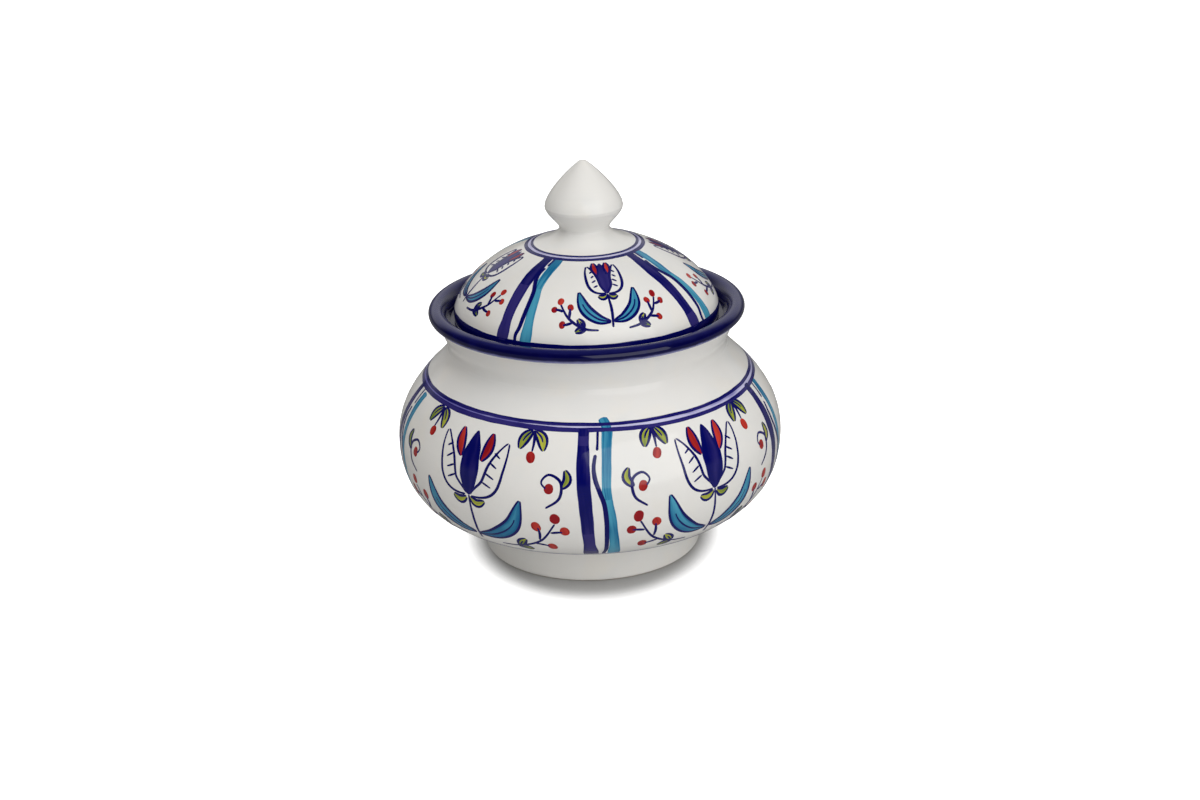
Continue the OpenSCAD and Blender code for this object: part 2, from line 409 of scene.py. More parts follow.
class Shader:
    """A node material, put together socket by socket."""

    # Sockets of a Mix node when it mixes colours
    MIX_FACTOR = 0
    MIX_A = 6
    MIX_B = 7
    MIX_RESULT = 2

    def __init__(self, name):
        self.material = bpy.data.materials.new(name)
        self.material.use_nodes = True
        self.nodes = self.material.node_tree.nodes
        self.links = self.material.node_tree.links
        self.skin = self.nodes["Principled BSDF"].inputs

    def feed(self, socket, value):
        if isinstance(value, bpy.types.NodeSocket):
            self.links.new(value, socket)
        else:
            socket.default_value = value

    def add(self, kind, inputs, **settings):
        node = self.nodes.new("ShaderNode" + kind)
        for name, value in settings.items():
            setattr(node, name, value)
        for key, value in inputs.items():
            self.feed(node.inputs[key], value)
        return node

    def place(self):
        """Where the point is on the piece, in millimetres."""
        coordinates = self.add("TexCoord", {}).outputs["Object"]
        scaled = self.add("VectorMath", {0: coordinates, "Scale": 1 / MM}, operation="SCALE")
        return scaled.outputs["Vector"]

    def parts(self, vector):
        return self.add("SeparateXYZ", {0: vector}).outputs

    def join(self, x, y, z):
        return self.add("CombineXYZ", {0: x, 1: y, 2: z}).outputs[0]

    def math(self, operation, a, b=0.0):
        return self.add("Math", {0: a, 1: b}, operation=operation).outputs[0]

    def noise(self, vector, size, detail=2.0, roughness=0.5):
        inputs = {"Vector": vector, "Scale": 1 / size, "Detail": detail, "Roughness": roughness}
        return self.add("TexNoise", inputs).outputs[0]

    def drift(self, vector, size, strength, detail=2.0):
        """Noise about zero, which strays by at most half the strength."""
        centred = self.math("SUBTRACT", self.noise(vector, size, detail), 0.5)
        return self.math("MULTIPLY", centred, strength)

    def specks(self, vector, size, share):
        """Rare round specks: 1 in the middle of a speck and 0 between them."""
        cells = self.add("TexVoronoi", {"Vector": vector, "Scale": 1 / size})
        chosen = self.math("GREATER_THAN", self.parts(cells.outputs["Color"])[0], 1 - share)
        return self.math("MULTIPLY", chosen, self.ramp(cells.outputs["Distance"], *SPECK_EDGE))

    def ramp(self, value, low, high, low_value=0.0, high_value=1.0):
        """Smoothly from one value to another while the input goes from low to high."""
        backwards = low > high
        if backwards:
            low, high, low_value, high_value = high, low, high_value, low_value
        inputs = {"Value": value, "From Min": low, "From Max": high,
                  "To Min": low_value, "To Max": high_value}
        return self.add("MapRange", inputs, interpolation_type="SMOOTHSTEP").outputs[0]

    def blend(self, factor, a, b):
        inputs = {self.MIX_FACTOR: factor, self.MIX_A: a, self.MIX_B: b}
        return self.add("Mix", inputs, data_type="RGBA").outputs[self.MIX_RESULT]

    def bump(self, height, depth, under=None):
        """Relief of a depth in millimetres, on top of any relief under it."""
        node = self.add("Bump", {"Height": height, "Distance": depth * MM, "Strength": 1.0})
        if under is not None:
            self.feed(node.inputs["Normal"], under)
        return node.outputs[0]


def glaze_over(shader, colour):
    """The clear glaze that covers everything: glossy and faintly wavy."""
    place = shader.place()
    waves = shader.bump(shader.noise(place, size=9.0), depth=0.05)
    peel = shader.bump(shader.noise(place, size=0.9, detail=1.0), depth=0.0018, under=waves)
    gloss = shader.ramp(shader.noise(place, size=5.0, detail=3.0), *GLOSS_SPAN, *GLAZE_ROUGHNESS)
    shader.feed(shader.skin["Base Color"], colour)
    shader.feed(shader.skin["Roughness"], gloss)
    shader.feed(shader.skin["Normal"], peel)
    shader.skin["IOR"].default_value = GLAZE_IOR
    return shader.material


def white_colour(shader):
    """White tin glaze, a little warmer and cooler in patches, with rare iron specks."""
    place = shader.place()
    cool = shader.ramp(shader.noise(place, size=22.0), *COOL_SPAN)
    warm = shader.ramp(shader.noise(place, size=13.0), *WARM_SPAN)
    patches = shader.blend(warm, shader.blend(cool, WHITE_BODY, WHITE_COOL), WHITE_WARM)
    specks = shader.math("MULTIPLY", shader.specks(place, size=3.0, share=0.012), SPECK_DEPTH)
    return shader.blend(specks, patches, IRON_SPECK)


def white_glaze():
    shader = Shader("white_tin_glaze")
    return glaze_over(shader, white_colour(shader))


def bare_clay():
    """Unglazed fired clay, where a piece stood in the kiln."""
    shader = Shader("bare_fired_clay")
    place = shader.place()
    grain = shader.noise(place, size=0.6, detail=4.0, roughness=0.7)
    mottle = shader.ramp(shader.noise(place, size=4.0, detail=3.0), *MOTTLE_SPAN)
    shader.feed(shader.skin["Base Color"], shader.blend(mottle, CLAY, CLAY_DARK))
    shader.feed(shader.skin["Roughness"], shader.ramp(grain, *GLOSS_SPAN, *CLAY_ROUGHNESS))
    shader.feed(shader.skin["Normal"], shader.bump(grain, depth=0.05))
    return shader.material


def cobalt_rim():
    """Cobalt on the rolled lip and inside it, washing out to white under the lip and below the ledge."""
    shader = Shader("cobalt_rim_glaze")
    place = shader.place()
    x, y, height = shader.parts(place)[:3]
    squares = [shader.math("MULTIPLY", side, side) for side in (x, y)]
    radius = shader.math("SQRT", shader.math("ADD", *squares))
    edge = shader.math("ADD", height, shader.drift(place, size=6.0, strength=0.9))
    outside = shader.math("GREATER_THAN", radius, LIP_RADIUS)
    thinner = shader.math("MULTIPLY", shader.ramp(shader.noise(place, size=8.0), *THIN_SPAN), THIN_SHARE)
    lip = shader.blend(thinner, NAVY_DEEP, NAVY_THIN)
    # The paler crest is partly glaze thin on the edge and partly painted sheen
    crest_sheened = shader.blend(shader.ramp(edge, *CREST, 0.0, CREST_SHARE), lip, NAVY_CREST_SHEEN)
    wash = shader.math("MULTIPLY", outside, shader.ramp(edge, *WASH, 0.0, WASH_SHARE))
    washed = shader.blend(wash, crest_sheened, NAVY_WASH)
    inside = shader.ramp(radius, *LEDGE_END)
    below = shader.math("MULTIPLY", outside, shader.ramp(edge, *LIP_END))
    bare = shader.math("MAXIMUM", below, inside)
    return glaze_over(shader, shader.blend(bare, washed, white_colour(shader)))


def brushed_colour(name, kind):
    """Colour laid on with a brush: streaked along the stroke, thinner in places and paler at its edge."""
    shader = Shader(name)
    along, across = shader.parts(shader.add("UVMap", {}, uv_map="brush").outputs[0])[:2]
    load = shader.parts(shader.add("UVMap", {}, uv_map="load").outputs[0])[0]
    island = shader.add("NewGeometry", {}).outputs["Random Per Island"]
    grain = shader.join(shader.math("MULTIPLY", along, STREAK_ALONG),
                        shader.math("MULTIPLY", across, STREAK_ACROSS),
                        shader.math("MULTIPLY", island, STROKES_APART))
    streaks = shader.drift(grain, size=1.0, strength=1.7)
    blots = shader.drift(shader.place(), size=11.0, strength=0.9, detail=1.0)
    from_middle = shader.math("ABSOLUTE", across)
    pooled = shader.ramp(from_middle, *POOL_SPAN, 0.0, POOL_LOAD)
    laid = shader.math("ADD", shader.math("ADD", load, pooled), shader.math("ADD", streaks, blots))
    colour = shader.blend(shader.ramp(laid, 0.0, 1.0), kind.thin, kind.deep)
    edge = shader.math("MULTIPLY", shader.ramp(from_middle, *FRINGE_SPAN), FRINGE_SHARE)
    return glaze_over(shader, shader.blend(edge, colour, kind.fringe))


# Objects

def mesh_from(made, name):
    mesh = bpy.data.meshes.new(name)
    made.to_mesh(mesh)
    made.free()
    return mesh


def in_scene(mesh, materials):
    """An object of the mesh's own name, with its materials."""
    for material in materials:
        mesh.materials.append(material)
    piece = bpy.data.objects.new(mesh.name, mesh)
    bpy.context.scene.collection.objects.link(piece)
    return piece


# Turned pieces. A finish gives the number of the material at a place on the outline

def one_finish(radius, height):
    return 0


def foot_finish(radius, height):
    return int(height < FOOT_BARE_TOP)


def dome_finish(radius, height):
    return int(height < LAND_TOP and radius > LAND_RADIUS)


def flange_finish(radius, height):
    return int(radius > FLANGE_SKIN)


def turned_piece(name, node, body, materials, finish=one_finish):
    """A CAD node turned again as a fine smooth mesh, which stands for it."""
    runs, closed = stretches(node)
    outline = [runs[0][0]]
    corners = []
    for run in runs:
        corners.append(len(outline) - 1)
        outline += run[1:]
    if closed:
        outline.pop()
    made = bmesh.new()
    angles = np.arange(SEGMENTS) * 2 * np.pi / SEGMENTS
    rings = []
    for radius, height in outline:
        at = angles if radius > SAME_RING else angles[:1]
        rings.append([made.verts.new(p) for p in in_space(radius, height, at)])
    count = len(rings)
    for i in range(count if closed else count - 1):
        low, high = rings[i], rings[(i + 1) % count]
        middle = (outline[i] + outline[(i + 1) % count]) / 2
        for k in range(SEGMENTS):
            n = k + 1
            around = [low[k % len(low)], low[n % len(low)], high[n % len(high)], high[k % len(high)]]
            face = made.faces.new(list(dict.fromkeys(around)))
            face.smooth = True
            face.material_index = finish(*middle)
    for i in corners:
        for k in range(len(rings[i]) if len(rings[i]) > 1 else 0):
            made.edges.get((rings[i][k - 1], rings[i][k])).smooth = False
    piece = in_scene(mesh_from(made, name), materials)
    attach(piece, body)
    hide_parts(node)


# Brushwork

class Wall:
    """The outside of a turned piece above a height, measured along its outline."""

    def __init__(self, node, low):
        runs, _ = stretches(node)
        outside = max(runs, key=lambda run: max(p[0] for p in run))
        self.radii, self.heights = np.array([p for p in outside if p[1] > low]).T
        steps = np.hypot(np.diff(self.radii), np.diff(self.heights))
        self.along = np.concatenate([[0.0], np.cumsum(steps)])
        self.outward = np.gradient(self.heights, self.along)
        self.upward = -np.gradient(self.radii, self.along)

    def reach_at(self, height):
        """How far along the outline a height is."""
        return float(np.interp(height, self.heights, self.along))

    def radius_at(self, along):
        return np.interp(along, self.along, self.radii)

    def points(self, along, angle, lift):
        """Points in metres, lifted off the wall by some millimetres, and the wall's normals there."""
        radius, height, outward, upward = (np.interp(along, self.along, values) for values in
                                           (self.radii, self.heights, self.outward, self.upward))
        normals = np.stack([outward * np.sin(angle), -outward * np.cos(angle), upward], axis=-1)
        return in_space(radius + outward * lift, height + upward * lift, angle), normals


class Panel:
    """A sheet of drawing laid on a wall: x to the right of its middle line, y up from its base."""

    def __init__(self, wall, middle, base, reach, scale=1.0, fit=1.0):
        self.wall = wall
        self.middle = math.radians(middle)
        self.base = base
        self.reach = reach
        self.scale = scale
        self.fit = fit

    def squeeze(self, y):
        """How wide one step of x comes out on the wall at a height y, against one step of y."""
        return self.fit * self.wall.radius_at(self.base + y * self.scale) / self.reach

    def aside(self, path):
        """The way to the right of a path, at each point, as laid on the wall."""
        way = np.gradient(path, axis=0)
        way[:, 0] *= self.squeeze(path[:, 1])
        way /= np.linalg.norm(way, axis=1)[:, None]
        return np.stack([way[:, 1], -way[:, 0]], axis=1)

    def beside(self, path, offsets):
        """The path moved to its right by an offset at each point."""
        moved = self.aside(path) * offsets[:, None]
        moved[:, 0] /= self.squeeze(path[:, 1])
        return path + moved

    def lengths(self, path):
        """How far along the path each point is."""
        steps = np.diff(path, axis=0)
        widths = steps[:, 0] * self.squeeze(path[1:, 1])
        return np.concatenate([[0.0], np.cumsum(np.hypot(widths, steps[:, 1]))])

    def points(self, x, y, across, up, lift):
        """Points at x and y, moved across, up and off the wall, and the wall's normals there."""
        along = self.base + (y + up) * self.scale
        turned = x * self.fit / self.reach + across / self.wall.radius_at(along)
        return self.wall.points(along, self.middle + turned * self.scale, lift)


class Ink:
    """All strokes of one colour on one body: thin closed ribbons that follow the wall."""

    def __init__(self, name, body, slot, material, lift):
        self.name = name
        self.body = body
        self.slot = slot
        self.material = material
        self.lift = lift
        self.verts = []
        self.normals = []
        self.brush = []
        self.load = []
        self.faces = []

    def stroke(self, panel, path, half_width, load, coat=0, closed=False, unsteady=STEADY):
        """One stroke along a path. half_width gives its half width from 0 to 1 along it."""
        path = np.array(path)
        along = panel.lengths(path)
        length = along[-1]
        half = np.array([half_width(t) for t in along / length])
        if not closed:
            to_end = np.minimum(along, length - along) / np.maximum(half, NARROWEST)
            half = half * (1 - np.clip(1 - to_end, 0, 1) ** BLUNT_POWER) ** (1 / BLUNT_POWER)
        left = shaky_line(length, HAND_WAVES)(along)
        right = shaky_line(length, HAND_WAVES)(along)
        shaky = 1 + unsteady * np.where(STROKE_ACROSS > 0, right[:, None], left[:, None])
        offset = STROKE_ACROSS * np.maximum(half, NARROWEST)[:, None] * shaky
        lift = np.tile(STROKE_RISE * (self.lift + COAT_STEP * coat) - STROKE_SINK, (len(path), 1))
        if not closed:
            lift[[0, -1]] = np.minimum(lift[[0, -1]], -STROKE_END_SINK)
        aside = panel.aside(path)
        across, up = offset * aside[:, :1], offset * aside[:, 1:]
        points, normals = panel.points(path[:, :1], path[:, 1:], across, up, lift)
        rows = len(path) - 1 if closed else len(path)
        start = len(self.verts)
        self.verts += list(points[:rows].reshape(-1, 3))
        self.normals += list(normals[:rows].reshape(-1, 3))
        self.brush += [(u * panel.scale, v) for u in along[:rows] for v in STROKE_ACROSS]
        self.load += [(load, 0.0)] * (rows * len(STROKE_ACROSS))
        self.skin_over(start, rows, closed)

    def skin_over(self, start, rows, closed):
        """Faces round a stroke, and over its ends."""
        around = len(STROKE_ACROSS)
        for i in range(rows if closed else rows - 1):
            here = start + i * around
            there = start + (i + 1) % rows * around
            for k in range(around):
                n = (k + 1) % around
                self.faces.append((here + k, here + n, there + n, there + k))
        if not closed:
            self.faces.append(tuple(range(start + around - 1, start - 1, -1)))
            last = start + (rows - 1) * around
            self.faces.append(tuple(range(last, last + around)))

    def finish(self):
        """Makes one piece of all the strokes, shaded as the wall under them is."""
        mesh = bpy.data.meshes.new(self.name)
        mesh.from_pydata(self.verts, [], self.faces)
        corners = np.empty(len(mesh.loops), np.int32)
        mesh.loops.foreach_get("vertex_index", corners)
        for name, values in (("brush", self.brush), ("load", self.load)):
            layer = mesh.uv_layers.new(name=name)
            layer.data.foreach_set("uv", np.array(values, np.float32)[corners].ravel())
        mesh.polygons.foreach_set("use_smooth", [True] * len(mesh.polygons))
        mesh.normals_split_custom_set_from_vertices(self.normals)
        piece = in_scene(mesh, [self.material])
        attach(piece, self.body)


def shaky_line(length, waves):
    """A smooth wobble from -1 to 1 along a stroke, which closes on itself over the length."""
    turns = [max(1, round(length / w)) for w in waves]
    phases = [hand.uniform(0, 2 * math.pi) for _ in waves]
    return lambda u: sum(np.sin(2 * np.pi * n * u / length + p) for n, p in zip(turns, phases)) / len(waves)


def evenly(points, spacing):
    """Evenly spaced points along a smooth curve through the given ones."""
    p = np.array(smooth(points, spacing))
    steps = np.linalg.norm(np.diff(p, axis=0), axis=1)
    along = np.concatenate([[0.0], np.cumsum(steps)])
    at = np.linspace(0.0, along[-1], max(FEWEST_STEPS, math.ceil(along[-1] / spacing)) + 1)
    return np.stack([np.interp(at, along, p[:, 0]), np.interp(at, along, p[:, 1])], axis=1)


def leaf_width(half, skew):
    """Half width of a leaf or petal: pointed at both ends, and widest at the middle or before it."""
    return lambda t: half * max(0.0, math.sin(math.pi * t ** skew)) ** LEAF_POINT


def line_width(half):
    """Half width of a line drawn with the brush's tip: thin at the start, fuller, and thin again."""
    return lambda t: half * (LINE_ENDS + LINE_SWELL * math.sin(math.pi * min(1.0, t * LINE_TAPER)))


def dab_width(radius):
    """Half width of a round dab."""
    return lambda t: radius * max(0.0, 1 - (2 * t - 1) ** 2) ** 0.5


def width_through(halves):
    """Half width that passes evenly through the given values."""
    places = np.linspace(0.0, 1.0, len(halves))
    return lambda t: float(np.interp(t, places, halves))


class Painter:
    """Draws lines, bars and motifs with one body's set of inks."""

    # Spacing of points on a stroke and on a dab, half width of a line, and how far off a point may be
    STEP = 0.8
    FINE = 0.25
    LINE = 0.54
    JITTER = 0.3

    def __init__(self, inks):
        self.inks = inks

    def off(self):
        return hand.uniform(-1, 1) * self.JITTER

    def near(self, points):
        """The points, each a little off its place, as a free hand draws them."""
        return [(x + self.off(), y + self.off()) for x, y in points]

    def draw(self, panel, path, half):
        """A navy line with the tip of the brush. half is in millimetres at any scale."""
        self.inks["navy"].stroke(panel, path, line_width(half / panel.scale), load=hand.uniform(*LINE_LOAD))

    def line(self, panel, points, half=LINE):
        self.draw(panel, evenly(self.near(points), self.STEP), half)

    def leaf(self, panel, spine, half, colour, skew=1.0, vein=True, outline=True):
        """A leaf or petal, filled if it has a colour, with navy outlines and a vein."""
        path = evenly(self.near(spine), self.STEP)
        width = leaf_width(half, skew)
        if colour:
            self.inks[colour].stroke(panel, path, width, load=hand.uniform(*LEAF_LOAD), unsteady=UNSTEADY)
        share = np.linspace(0.0, 1.0, len(path))
        if outline:
            for side in (-1, 1):
                self.draw(panel, panel.beside(path, np.array([side * width(t) for t in share])), self.LINE)
        if vein:
            self.draw(panel, path[:max(VEIN_POINTS, int(len(path) * VEIN_REACH))], VEIN_SHARE * self.LINE)

    def berry(self, panel, x, y, radius):
        """One round red dab of the brush."""
        x, y = self.near([(x, y)])[0]
        lean = hand.uniform(-BERRY_LEAN, BERRY_LEAN)
        tall = radius * hand.uniform(*BERRY_TALL)
        path = evenly([(x - lean * tall, y - tall), (x + lean * tall, y + tall)], self.FINE)
        self.inks["berry"].stroke(panel, path, dab_width(radius), load=hand.uniform(*BERRY_LOAD))

    def ring(self, wall, along, colour, half, load, lean=0.0, deeper=()):
        """A line drawn right round on the wheel. Right of the front it sinks by its lean, in millimetres.

        deeper gives more coats, each as the angles where it starts and ends, and its load."""
        radius = wall.radius_at(along)
        panel = Panel(wall, 180.0, along, radius)
        turn = 2 * math.pi * radius
        x = np.linspace(0.0, turn, 2 * SEGMENTS + 1)
        sway = lean * np.sin(4 * np.pi * x / turn)
        y = RING_SHAKE * shaky_line(turn, RING_WAVES)(x) - sway
        path = np.stack([x - turn / 2, y], axis=1)
        ink = self.inks[colour]

        def width(t):
            return half * (1 - RING_SWELL * lean * math.sin(4 * math.pi * t))

        unsteady = min(RING_UNSTEADY, RING_WOBBLE / half)
        ink.stroke(panel, path, width, load, RING_COAT, closed=True, unsteady=unsteady)
        for coat, (start, end, more) in enumerate(deeper, RING_COAT + 1):
            part = path[(x > start / 360 * turn) & (x < end / 360 * turn)]
            ink.stroke(panel, part, lambda t: half, more, coat)

    def double_line(self, wall, low, high, lilac, low_line, high_line):
        """Two navy rings with a lilac wash between them."""
        self.ring(wall, (low + high) / 2, "lilac", (high - low) / 2, **lilac)
        self.ring(wall, low, "navy", **low_line)
        self.ring(wall, high, "navy", **high_line)

    def stripes(self, panel, height, size, stripe, slant, underrun):
        """A turquoise bar, a navy bar and a thin line between them, from the line above down past the base.

        Points are millimetres aside and shares of the height."""
        def run(points):
            return evenly([(x * size + slant * (1 - y), y * height) for x, y in points], self.STEP)

        end = -underrun / height
        self.turquoise_bar(panel, run, 1 + stripe.overrun / height, end)
        self.navy_bar(panel, run, height, end, stripe.doubled)
        self.thin_line(panel, run, end)

    def turquoise_bar(self, panel, run, top, end):
        """One long stroke, with a second coat on its upper half and a full brush at its tip."""
        cap = max(CAP_LENGTH, top - CAP_FOOT)
        tip = TIP_ASIDE - TIP_LEAN * max(0.0, top - 1)
        upper = [(6.7, min(0.99, top - 0.03)), (6.3, 0.93), (5.5, 0.78)]
        lower = [(5.0, 0.64), (5.2, 0.54), (6.3, 0.44), (6.95, 0.35), (7.5, 0.22), (7.8, 0.1), (7.9, end)]
        bar = run([(tip, top), *upper, *lower])
        second = run([(tip, top - 0.01), *upper, (5.1, 0.64), (5.4, 0.54)])
        full = run([(tip, top), (6.7, top - 0.7 * cap), (6.65, top - cap)])
        bar_width = width_through([1.7, 2.2, 1.9, 1.95, 1.85, 2.0, 1.8, 1.75, 2.0, 2.45, 2.5])
        ink = self.inks["turquoise"]
        ink.stroke(panel, bar, bar_width, load=0.25)
        ink.stroke(panel, second, width_through([1.8, 1.6, 1.5, 1.0]), load=0.5, coat=1, unsteady=ROUGH)
        ink.stroke(panel, full, width_through([1.6, 2.1, 1.7]), load=0.5, coat=2, unsteady=ROUGH)

    def navy_bar(self, panel, run, height, end, doubled):
        """One long stroke, doubled between two shares of the height, with a full brush at its top."""
        bar = run([(-2.6, 1.02), (-3.0, 0.68), (-2.5, 0.51), (-1.3, 0.05), (-1.1, end)])
        full = run([(-2.6, 1.02), (-2.65, 0.985), (-2.7, 0.95)])
        bar_width = width_through([2.1, 2.1, 2.5, 2.75, 2.65, 2.6, 2.5, 2.4, 2.35, 3.0, 2.8])
        share = bar[:, 1] / height
        second = np.flatnonzero((share > doubled[0]) & (share < doubled[1]))
        first, last = second[[0, -1]] / (len(bar) - 1)

        def second_width(t):
            return SECOND_COAT_SHARE * bar_width(first + (last - first) * t)

        ink = self.inks["navy"]
        ink.stroke(panel, bar, bar_width, load=0.1)
        ink.stroke(panel, full, width_through([1.9, 1.95, 1.7]), load=0.9, coat=2, unsteady=ROUGH)
        ink.stroke(panel, bar[second], second_width, load=0.7, coat=1)

    def thin_line(self, panel, run, end):
        """A thin navy line that wavers, broken once near its top."""
        upper = run([(3.1, 1.0), (2.7, 0.93), (2.3, 0.86)])
        lower = run([(1.7, 0.845), (0.8, 0.765), (1.1, 0.69), (2.6, 0.6), (3.9, 0.53),
                     (4.6, 0.41), (4.7, 0.22), (4.5, 0.12), (3.8, 0.05), (4.1, end + 0.01)])
        ink = self.inks["navy"]
        ink.stroke(panel, upper, width_through([0.5, 0.45, 0.55]), load=0.8)
        ink.stroke(panel, lower, width_through([0.65, 0.9, 0.95, 0.95, 0.85, 0.65]), load=0.95)

    def tulip(self, panel):
        """A tulip on a stem, between hatched petals and two long leaves."""
        self.line(panel, [(0, 9), (0.7, 20), (0, 32)], half=0.55)
        for side in (-1, 1):
            long_leaf = [(0.4 * side, 13), (9 * side, 15), (17.5 * side, 22), (22 * side, 34)]
            self.leaf(panel, long_leaf, 3.1, "turquoise")
            petal = [(0.8 * side, 32), (8.4 * side, 36.5), (11.6 * side, 45), (15.5 * side, 55)]
            self.leaf(panel, petal, 3.6, None, 0.9, vein=False)
            for k in range(4):
                low = 37 + 3.9 * k
                out = 6.0 + 1.3 * k
                hatch = [(out * side, low + 1.6), ((out + 4.6 - 0.5 * k) * side, low - 0.6)]
                self.line(panel, hatch, half=0.38)
            inner_petal = [(4.6 * side, 46), (6.6 * side, 51.5), (7.4 * side, 58)]
            self.leaf(panel, inner_petal, 1.9, "berry", vein=False)
            sepal = [(0.3 * side, 31), (3.8 * side, 29), (7.6 * side, 30.5)]
            self.leaf(panel, sepal, 1.4, "leaf", vein=False)
        middle = [(0, 31.5), (0.2, 43), (0, 57.5)]
        self.leaf(panel, middle, 4.7, "navy", 0.85, vein=False, outline=False)

    def berry_twig(self, panel, side):
        """A bent twig with green leaves and red berries."""
        self.line(panel, [(9 * side, 8.2), (18 * side, 9.6), (28 * side, 15.5), (34.5 * side, 25)])
        for x, y, tip_x, tip_y in ((28, 15.5, 27.5, 23), (32, 20, 38, 21), (25, 13.2, 32, 11.5)):
            bend = ((x + tip_x) / 2 * side + 0.4, (y + tip_y) / 2)
            self.line(panel, [(x * side, y), bend, (tip_x * side, tip_y)])
            self.berry(panel, tip_x * side, tip_y, 2.0)
        self.berry(panel, 34.8 * side, 26.8, 2.1)
        for x, y, tip_x, tip_y in ((18, 9.6, 22.5, 15.5), (17, 9.3, 24, 7)):
            bend = ((x + tip_x) / 2 * side, (y + tip_y) / 2 + 0.8)
            self.leaf(panel, [(x * side, y), bend, (tip_x * side, tip_y)], 1.5, "leaf")

    def scroll(self, panel, side):
        """A curled tendril with a berry at its end."""
        self.line(panel, [(31 * side, 31), (36.5 * side, 35.5), (37 * side, 42), (32.5 * side, 44.5),
                          (29.8 * side, 41.4), (32 * side, 39)])
        self.berry(panel, 32.8 * side, 39.4, 1.9)
        spine = [(36.9 * side, 39), (39.6 * side, 42.8), (38.6 * side, 47)]
        self.leaf(panel, spine, 1.3, "leaf", vein=False)

    def drop_sprig(self, panel, x, top):
        """A sprig that hangs from the line above: two green leaves and a berry."""
        for side in (-1, 1):
            spine = [(x + 0.4 * side, top), (x + 3.6 * side, top - 3.4), (x + 5.2 * side, top - 8.2)]
            self.leaf(panel, spine, 1.8, "leaf")
        self.line(panel, [(x, top), (x + 0.3, top - 4.5), (x, top - 9)])
        self.berry(panel, x, top - 10.6, 1.9)


def ink_set(body, materials):
    return {colour: Ink(f"{body}_{colour}_brushwork", body, kind.slot, materials[colour], kind.lift)
            for colour, kind in INK_KINDS.items()}


def midway(angles):
    """The middle of each gap between neighbouring angles, and half its width, going right round."""
    onward = angles[1:] + [angles[0] + 360.0]
    return [((a + b) / 2, (b - a) / 2) for a, b in zip(angles, onward)]


def motif_panels(wall, stripes, base, reach, scale):
    """A panel in each gap between the stripes, as wide as the gap leaves room for."""
    for angle, half in midway([stripe.angle for stripe in stripes]):
        room = math.radians(half) * reach - STRIPE_ROOM
        shift = math.degrees(MOTIF_SHIFT / reach)
        yield Panel(wall, angle + shift, base, reach, scale, min(1.0, room / scale / MOTIF_HALF))


def paint_bowl(inks):
    wall = Wall("bowl", BOWL_WALL_FOOT)
    painter = Painter(inks)
    low, high = (wall.reach_at(z) for z in SHOULDER_LINES)
    base = wall.reach_at(BOTTOM_LINE)
    height = low - base
    lilac = {**SHOULDER_LILAC, "deeper": LILAC_COATS}
    painter.double_line(wall, low, high, lilac, SHOULDER_LOW, SHOULDER_HIGH)
    painter.ring(wall, base, "navy", **BOTTOM_RING)
    for stripe in BELLY_STRIPES:
        panel = Panel(wall, stripe.angle, base, BELLY_REACH)
        slant = hand.uniform(-BELLY_SLANT, BELLY_SLANT)
        painter.stripes(panel, height, BELLY_STRIPE_SIZE, stripe, slant, BELLY_UNDERRUN)
    for panel in motif_panels(wall, BELLY_STRIPES, base - MOTIF_DROP, BELLY_REACH, BELLY_SCALE):
        painter.tulip(panel)
        for side in (-1, 1):
            painter.berry_twig(panel, side)
            painter.scroll(panel, side)
            painter.drop_sprig(panel, SPRIG_ASIDE * side, (height + SPRIG_RISE) / BELLY_SCALE)


def paint_lid(inks):
    wall = Wall("lid_dome", DOME_WALL_FOOT)
    painter = Painter(inks)
    low, high = (wall.reach_at(z) for z in LID_RING_LINES)
    edge, base = (wall.reach_at(z) for z in LID_EDGE)
    height = low - base
    painter.double_line(wall, low, high, {"load": LID_LILAC_LOAD}, LID_RING_LOW, LID_RING_HIGH)
    painter.ring(wall, (edge + base) / 2, "navy", (base - edge) / 2, LID_EDGE_LOAD)
    for stripe in LID_STRIPES:
        panel = Panel(wall, stripe.angle, base, LID_REACH)
        painter.stripes(panel, height, LID_STRIPE_SIZE, stripe, stripe.slant, LID_UNDERRUN)
    for panel in motif_panels(wall, LID_STRIPES, base, LID_REACH, LID_SCALE):
        painter.tulip(panel)
        for side in (-1, 1):
            painter.berry_twig(panel, side)


# Stage

def stage_piece(name, made, material):
    piece = in_scene(mesh_from(made, name), [material])
    return piece


def seen_directly(nodes, links):
    """1 for rays from the camera and in mirrors or glass, and 0 for the rays that light things."""
    path = nodes.new("ShaderNodeLightPath")
    total = path.outputs["Is Camera Ray"]
    for ray in ("Is Glossy Ray", "Is Transmission Ray"):
        either = nodes.new("ShaderNodeMath")
        either.operation = "MAXIMUM"
        links.new(total, either.inputs[0])
        links.new(path.outputs[ray], either.inputs[1])
        total = either.outputs[0]
    return total


